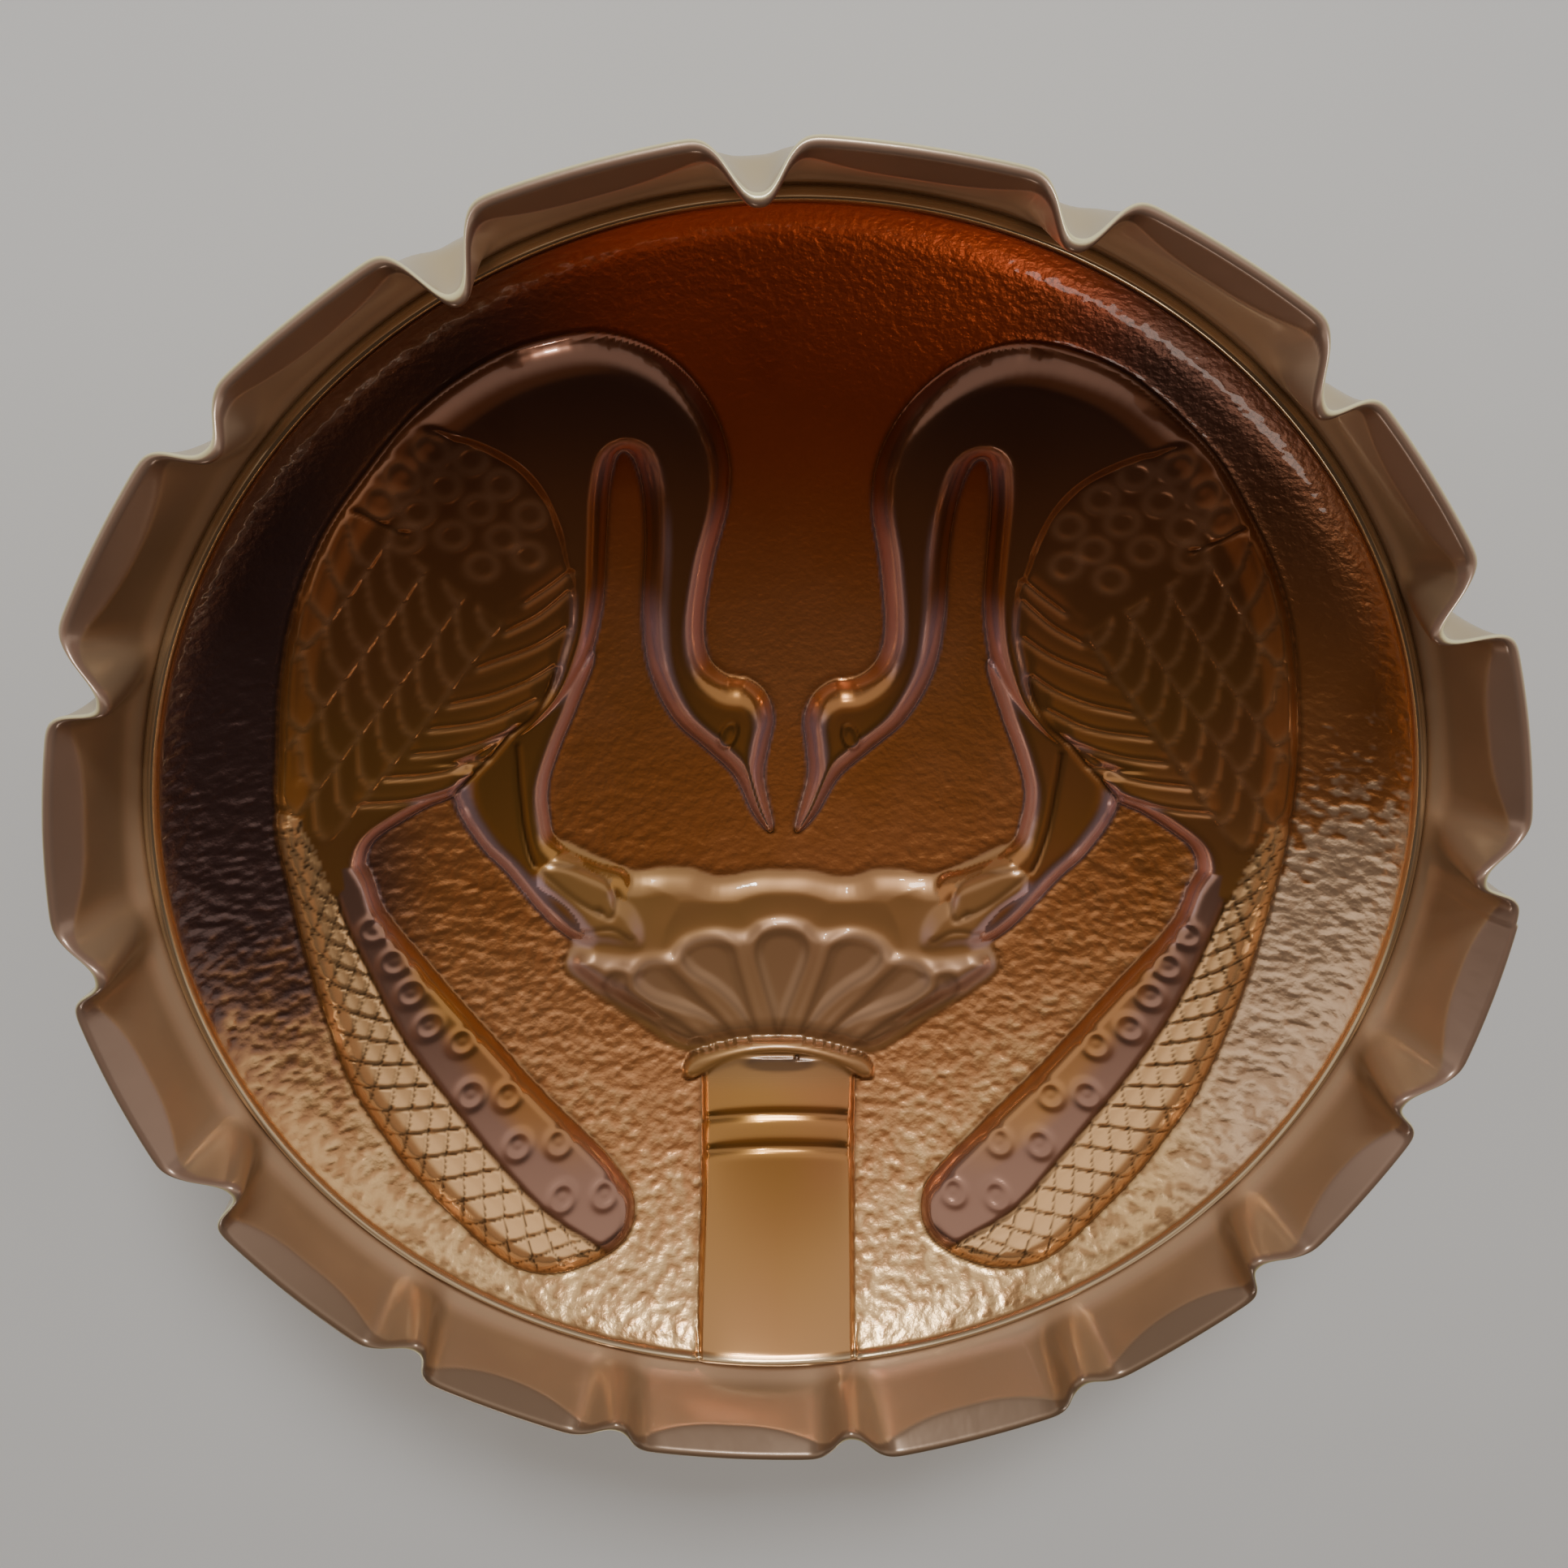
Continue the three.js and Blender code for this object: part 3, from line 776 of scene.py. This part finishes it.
def make_collar():
    """The crimped collar: inner face, rolled bare edge, outer face and the seat on the well's edge."""
    angle = np.linspace(0.0, 360.0, COLLAR_AROUND, endpoint=False)
    up = np.concatenate([np.linspace(0.0, 0.7, 15), np.linspace(0.72, 1.0, 22)])
    turns = np.linspace(0.0, math.pi, 10)[1:-1]
    (ring_r, ring_z), lip = collar_section(up, angle, turns)
    rows = len(ring_r)
    rad = np.radians(angle)
    vertices = np.stack([ring_r * np.cos(rad), ring_r * np.sin(rad), ring_z], -1).reshape(-1, 3)
    faces = []
    for i in range(rows):
        faces += ring_faces(i * COLLAR_AROUND, (i + 1) % rows * COLLAR_AROUND, COLLAR_AROUND)
    marks = collar_marks(up, lip, turns, rows - len(up) - len(turns))
    return make_object("crimped_collar_glass", vertices, faces, marks)


def make_foot():
    """The plain foot ring, whose top is sunk a little into the well's underside."""
    profile = [(FOOT_INNER + 0.5, 0.0), (FOOT_OUTER - 0.8, 0.0), (FOOT_OUTER - 0.25, 0.2),
               (FOOT_OUTER, 0.7), (FOOT_OUTER + 0.3, 2.0), (FOOT_OUTER + 0.8, 3.6)]
    for reach in np.linspace(FOOT_OUTER + 2.6, FOOT_INNER - 1.8, 7):
        profile.append((reach, CENTRE_Z - math.sqrt(OUTER_CURVE ** 2 - reach ** 2) + FOOT_SINK))
    profile += [(FOOT_INNER - 0.9, 3.6), (FOOT_INNER - 0.6, 1.8)]
    profile += [(FOOT_INNER - 0.3, 0.6), (FOOT_INNER, 0.15)]
    turns = np.linspace(0.0, 2 * math.pi, FOOT_AROUND, endpoint=False)
    vertices = [circle(reach, height, turns) for reach, height in profile]
    faces = []
    for i in range(len(profile)):
        faces += ring_faces(i * FOOT_AROUND, (i + 1) % len(profile) * FOOT_AROUND, FOOT_AROUND)
    return make_object("foot_ring_glass", np.vstack(vertices), faces)


def face_outward(piece):
    """Flips a closed mesh whose faces point inward."""
    work = bmesh.new()
    work.from_mesh(piece.data)
    if work.calc_volume(signed=True) < 0:
        bmesh.ops.reverse_faces(work, faces=work.faces)
        work.to_mesh(piece.data)
    work.free()


# ---- paints, linear colours; some are painted reflection, highlight and shade ----
OUTSIDE_GLASS = (0.44, 0.335, 0.165)
FOOT_CLOUD = (0.36, 0.28, 0.125)
ORANGE = (0.52, 0.20, 0.055)
WARM_ORANGE = (0.60, 0.245, 0.085)
ROSE_REFLECTION = (0.60, 0.27, 0.105)
CREAM_REFLECTION = (0.90, 0.58, 0.27)
EAST_CREAM_REFLECTION = (0.88, 0.60, 0.38)
TOP_SHADE_RED = (0.66, 0.12, 0.03)
TOP_SHADE_BROWN = (0.15, 0.07, 0.05)
WEST_SHADE_PURPLE = (0.125, 0.068, 0.06)
AMBER = (0.45, 0.215, 0.05)
ROSE_AMBER = (0.47, 0.20, 0.065)
HONEY_REFLECTION = (0.60, 0.32, 0.13)
FIGURE_SHADE_BROWN = (0.31, 0.115, 0.045)
FIGURE_DEEP_SHADE = (0.17, 0.075, 0.045)
LILAC_REFLECTION = (0.38, 0.205, 0.145)
OLIVE = (0.26, 0.145, 0.055)
SCALE_GLINT_GOLD = (0.97, 0.58, 0.27)
PIT_SHADE = (0.32, 0.14, 0.05)
FLANK_SHEEN_PINK = (0.90, 0.62, 0.68)
LIT_LINE = (0.42, 0.24, 0.14)
CUT_SHADE = (0.06, 0.025, 0.008)
BEAD_GLINT = (0.62, 0.46, 0.28)
WALL_BROWN = (0.34, 0.228, 0.135)
WALL_TAN = (0.39, 0.265, 0.16)
WALL_LIT_PALE = (0.92, 0.68, 0.48)
FACET_BROWN = (0.29, 0.185, 0.13)
FACET_TAN = (0.33, 0.21, 0.15)
FACET_SHADE = (0.22, 0.14, 0.085)
COVE_HIGHLIGHT = (0.72, 0.48, 0.32)
BARE_EDGE_GLINT = (0.72, 0.65, 0.36)
FLOOR_GREY = (0.68, 0.68, 0.67)
FLOOR_LIGHT = (0.74, 0.74, 0.73)
SKY_DIM = (0.034, 0.023, 0.019)
SKY_AMBER = (0.18, 0.10, 0.055)
SKY_WHITE = (0.74, 0.69, 0.63)
SKY_LOW = (0.25, 0.23, 0.23)
BACKDROP = (0.62, 0.62, 0.63)


# ---- materials, places in metres ----

class Nodes:
    """Short way to add and join the shader nodes of a material or a world."""

    def __init__(self, owner):
        owner.use_nodes = True
        self.owner = owner
        self.tree = owner.node_tree
        self.shader = self.tree.nodes.get("Principled BSDF")

    def add(self, kind, **settings):
        node = self.tree.nodes.new(kind)
        for key, value in settings.items():
            setattr(node, key, value)
        return node

    def join(self, output, target):
        self.tree.links.new(output, target)

    def feed(self, socket, value):
        """Joins a socket to a value, or sets it to a number or a colour."""
        if isinstance(value, (float, int)):
            socket.default_value = value
        elif isinstance(value, tuple):
            socket.default_value = (*value, 1.0)
        else:
            self.join(value, socket)

    def along(self, axis, space="Object"):
        place = self.add("ShaderNodeTexCoord")
        split = self.add("ShaderNodeSeparateXYZ")
        self.join(place.outputs[space], split.inputs[0])
        return split.outputs[axis]

    def mark(self, name):
        return self.add("ShaderNodeAttribute", attribute_name=name).outputs["Fac"]

    def mix(self, factor, low, high):
        node = self.add("ShaderNodeMix", data_type="RGBA")
        self.feed(node.inputs[0], factor)
        self.feed(node.inputs[6], low)
        self.feed(node.inputs[7], high)
        return node.outputs[2]

    def size(self, value):
        node = self.add("ShaderNodeMath", operation="ABSOLUTE")
        self.join(value, node.inputs[0])
        return node.outputs[0]

    def times(self, first, second):
        node = self.add("ShaderNodeMath", operation="MULTIPLY")
        self.feed(node.inputs[0], first)
        self.feed(node.inputs[1], second)
        return node.outputs[0]

    def weigh(self, *terms, base=0.0):
        """Weighted sum of sockets, plus a constant."""
        total = base
        for value, weight in terms:
            node = self.add("ShaderNodeMath", operation="MULTIPLY_ADD")
            self.join(value, node.inputs[0])
            self.feed(node.inputs[1], weight)
            self.feed(node.inputs[2], total)
            total = node.outputs[0]
        return total

    def ramp(self, value, low, high):
        """Eased step from 0 at low to 1 at high."""
        node = self.add("ShaderNodeMapRange", interpolation_type="SMOOTHSTEP")
        self.join(value, node.inputs["Value"])
        node.inputs["From Min"].default_value = low
        node.inputs["From Max"].default_value = high
        return node.outputs["Result"]

    def noise(self, scale, detail, stretch=(1, 1, 1)):
        place = self.add("ShaderNodeTexCoord")
        mapping = self.add("ShaderNodeMapping")
        mapping.inputs["Scale"].default_value = stretch
        self.join(place.outputs["Object"], mapping.inputs["Vector"])
        node = self.add("ShaderNodeTexNoise")
        node.inputs["Scale"].default_value = scale
        node.inputs["Detail"].default_value = detail
        self.join(mapping.outputs["Vector"], node.inputs["Vector"])
        return node.outputs["Fac"]

    def bump(self, height, distance, strength):
        node = self.add("ShaderNodeBump")
        node.inputs["Distance"].default_value = distance
        node.inputs["Strength"].default_value = strength
        self.join(height, node.inputs["Height"])
        self.join(node.outputs["Normal"], self.shader.inputs["Normal"])

    def finish(self, **values):
        for name, value in values.items():
            self.shader.inputs[name.replace("_", " ")].default_value = value
        return self.owner


def ground_paint(n, aside, reflection_lean, speckle):
    """Lustre of the hammered ground with painted reflection and shade: red at the top, purple black on the
    left, cream at the bottom.
    """
    patch = n.ramp(n.noise(38.0, 4.0), 0.35, 0.7)
    paint = n.mix(patch, ORANGE, WARM_ORANGE)
    # painted reflection: the ground turns rose towards the bottom
    paint = n.mix(n.ramp(n.along("Y"), -0.012, -0.045), paint, ROSE_REFLECTION)
    # painted reflection: cream low down, where the bright side of the room is mirrored
    paint = n.mix(n.ramp(reflection_lean, 0.07, 0.122), paint, CREAM_REFLECTION)
    # painted shade: dark red and dark brown at the top, where the ground mirrors the dim room
    top = n.mix(n.ramp(aside, 0.022, 0.055), TOP_SHADE_RED, TOP_SHADE_BROWN)
    paint = n.mix(n.ramp(n.along("Y"), 0.02, 0.085), paint, top)
    # painted shade: purple black on the upper left, with a speckled edge
    north = n.weigh((n.along("Y"), 1.0), (speckle, -0.012))
    west_shade = n.times(n.ramp(n.along("X"), -0.062, -0.082), n.ramp(north, -0.055, -0.015))
    paint = n.mix(west_shade, paint, WEST_SHADE_PURPLE)
    # painted reflection: cream also on the right side
    east_reflection = n.times(n.ramp(reflection_lean, 0.055, 0.07), n.ramp(n.along("X"), 0.07, 0.09))
    return n.mix(east_reflection, paint, EAST_CREAM_REFLECTION)


def figure_paint(n, reflection_lean):
    """Paint of the birds and the fountain: amber, honey at the bottom and dark brown at the top."""
    paint = n.mix(n.ramp(n.noise(22.0, 2.0), 0.4, 0.65), AMBER, ROSE_AMBER)
    # painted reflection: honey on the figures low down
    paint = n.mix(n.ramp(reflection_lean, 0.07, 0.122), paint, HONEY_REFLECTION)
    # painted shade: brown higher up and dark brown at the top of the figures
    paint = n.mix(n.ramp(n.along("Y"), -0.01, 0.07), paint, FIGURE_SHADE_BROWN)
    paint = n.mix(n.ramp(n.along("Y"), 0.055, 0.08), paint, FIGURE_DEEP_SHADE)
    # painted reflection: lilac-brown on the tails' inner bands and the shell
    paint = n.mix(n.times(n.mark("lilac"), 0.8), paint, LILAC_REFLECTION)
    paint = n.mix(n.times(n.mark("soft"), 0.6), paint, OLIVE)
    # painted reflection: bright gold on the tail's outer scales
    return n.mix(n.mark("scale_glint"), paint, SCALE_GLINT_GOLD)


def well_material():
    n = Nodes(bpy.data.materials.new("iridised_amber_glass"))
    ground = n.mark("ground")
    aside = n.size(n.along("X"))
    speckle = n.times(n.mark("pits"), ground)
    # how low and how far out a point lies, which sets where the painted reflection turns cream
    reflection_lean = n.weigh((aside, 0.6), (n.along("X"), 0.13), (n.along("Y"), -1.0), (speckle, 0.018))
    colour = n.mix(ground, figure_paint(n, reflection_lean), ground_paint(n, aside, reflection_lean, speckle))
    # painted shade in the stipple's pits, where the ground is painted cream
    pit_shade = n.times(n.ramp(n.mark("pits"), 0.2, -0.6), n.times(ground, n.ramp(reflection_lean, 0.07, 0.122)))
    colour = n.mix(n.times(pit_shade, 0.7), colour, PIT_SHADE)
    # painted reflection: lilac-pink sheen on steep flanks
    colour = n.mix(n.times(n.mark("flank"), 0.85), colour, FLANK_SHEEN_PINK)
    # painted highlight on the wing's pale lines, which also get less metal
    colour = n.mix(n.times(n.mark("pale"), 0.75), colour, LIT_LINE)
    # painted shade in the cut lines and round the figures
    colour = n.mix(n.times(n.mark("cut"), 0.9), colour, CUT_SHADE)
    # painted highlight: the thin bright line on the ring bead
    colour = n.mix(n.mark("bead"), colour, BEAD_GLINT)
    colour = n.mix(n.mark("outside"), colour, OUTSIDE_GLASS)
    n.join(colour, n.shader.inputs["Base Color"])
    metal = n.weigh((n.mark("outside"), -0.75), (n.mark("pale"), -0.4), (n.mark("soft"), -0.35), base=0.85)
    n.join(metal, n.shader.inputs["Metallic"])
    rough = n.weigh((ground, 0.12), (n.mark("soft"), 0.14), base=0.18)
    n.join(rough, n.shader.inputs["Roughness"])
    n.bump(n.times(n.noise(900.0, 2.0), ground), 0.0002, 0.6)
    return n.finish(IOR=1.5, Coat_Weight=0.5, Coat_Roughness=0.04, Coat_IOR=1.5)


def collar_material():
    n = Nodes(bpy.data.materials.new("lustred_rim_glass"))
    cloud = n.ramp(n.noise(30.0, 3.0), 0.35, 0.7)
    wall = n.mix(cloud, WALL_BROWN, WALL_TAN)
    # painted light: the collar's wall turns pale on the +Y side
    wall = n.mix(n.ramp(n.along("Y"), 0.05, 0.10), wall, WALL_LIT_PALE)
    facet = n.mix(cloud, FACET_BROWN, FACET_TAN)
    # painted shade: the lip facets darker on the -Y side
    facet = n.mix(n.ramp(n.along("Y"), -0.04, -0.09), facet, FACET_SHADE)
    colour = n.mix(n.mark("lip"), wall, facet)
    # painted highlight: cream at the foot of the inner face
    colour = n.mix(n.times(n.mark("cove"), 0.5), colour, COVE_HIGHLIGHT)
    colour = n.mix(n.mark("inside"), OUTSIDE_GLASS, colour)
    # painted highlight: the bare rolled edge painted pale
    colour = n.mix(n.mark("bare"), colour, BARE_EDGE_GLINT)
    n.join(colour, n.shader.inputs["Base Color"])
    n.join(n.weigh((n.mark("inside"), 0.35), base=0.1), n.shader.inputs["Metallic"])
    n.bump(n.noise(260.0, 2.0, (1, 1, 0.35)), 0.0001, 0.5)
    return n.finish(Roughness=0.3, IOR=1.5, Coat_Weight=0.3, Coat_Roughness=0.08)


def foot_material():
    n = Nodes(bpy.data.materials.new("plain_foot_glass"))
    colour = n.mix(n.ramp(n.noise(60.0, 3.0), 0.35, 0.7), FOOT_CLOUD, OUTSIDE_GLASS)
    n.join(colour, n.shader.inputs["Base Color"])
    n.bump(n.noise(300.0, 2.0), 0.0001, 0.4)
    return n.finish(Metallic=0.1, Roughness=0.2, IOR=1.52, Coat_Weight=0.6, Coat_Roughness=0.08)


# ---- stage, in metres ----
FLOOR_SIDE = 3.0
AIM = Vector((0.0, 0.0, 0.04))
LIGHTS = (
    ("key", (0.05, 1.15, 0.95), (0.42, 0.26), 13.0, (0.96, 0.98, 1.0)),
    ("spark", (-0.10, 0.86, 1.16), (0.06, 0.04), 1.6, (1.0, 1.0, 1.0)),
    ("fill", (-0.35, -1.25, 0.24), (0.5, 0.16), 1.3, (1.0, 0.93, 0.85)),
)


def make_floor():
    side = FLOOR_SIDE / MM
    corners = [(-side, -side, 0), (side, -side, 0), (side, side, 0), (-side, side, 0)]
    floor = make_object("floor", corners, [[0, 1, 2, 3]])
    n = Nodes(bpy.data.materials.new("pale_floor"))
    n.join(n.mix(n.noise(9.0, 3.0), FLOOR_GREY, FLOOR_LIGHT), n.shader.inputs["Base Color"])
    floor.data.materials.append(n.finish(Roughness=0.85))


def make_light(name, place, size, power, colour):
    data = bpy.data.lights.new(name, "AREA")
    data.shape = "RECTANGLE"
    data.size, data.size_y = size
    data.energy = power
    data.color = colour
    lamp = bpy.data.objects.new(name, data)
    lamp.location = place
    lamp.rotation_euler = (AIM - Vector(place)).to_track_quat("-Z", "Y").to_euler()
    lamp.visible_camera = False
    bpy.context.scene.collection.objects.link(lamp)


def make_world():
    """White high over the +Y side and round both sides, grey low at +Y, dim overhead and at -Y.

    The camera itself sees a plain pale backdrop.
    """
    world = bpy.data.worlds.new("studio")
    n = Nodes(world)
    toward, up = n.along("Y", "Generated"), n.along("Z", "Generated")
    lean = n.weigh((toward, 1.0), (n.along("X", "Generated"), -0.13), (up, -0.9))
    sky = n.mix(n.ramp(up, 0.76, 0.98), SKY_DIM, SKY_AMBER)
    facing = n.times(n.ramp(lean, -1.02, -0.5), n.ramp(toward, -0.34, -0.18))
    sky = n.mix(facing, sky, SKY_WHITE)
    sky = n.mix(n.ramp(lean, -0.08, 0.3), sky, SKY_LOW)
    around = n.tree.nodes["Background"]
    n.join(sky, around.inputs["Color"])
    backdrop = n.add("ShaderNodeBackground")
    n.feed(backdrop.inputs["Color"], BACKDROP)
    choose = n.add("ShaderNodeMixShader")
    n.join(n.add("ShaderNodeLightPath").outputs["Is Camera Ray"], choose.inputs[0])
    n.join(around.outputs[0], choose.inputs[1])
    n.join(backdrop.outputs[0], choose.inputs[2])
    n.join(choose.outputs[0], n.tree.nodes["World Output"].inputs["Surface"])
    bpy.context.scene.world = world


def dress(piece, material, slot, *nodes):
    face_outward(piece)
    piece.data.materials.append(material)
    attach(piece, "root")
    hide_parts(*nodes)


make_camera()
make_floor()
make_world()
for light in LIGHTS:
    make_light(*light)

dress(make_well(), well_material(), "iridised_glass", "well", "peacock_left", "peacock_right",
      "tail_left", "tail_right", "fountain_basin", "fountain_column")
dress(make_collar(), collar_material(), "rim_glass", "crimped_collar")
dress(make_foot(), foot_material(), "foot_glass", "foot_ring")
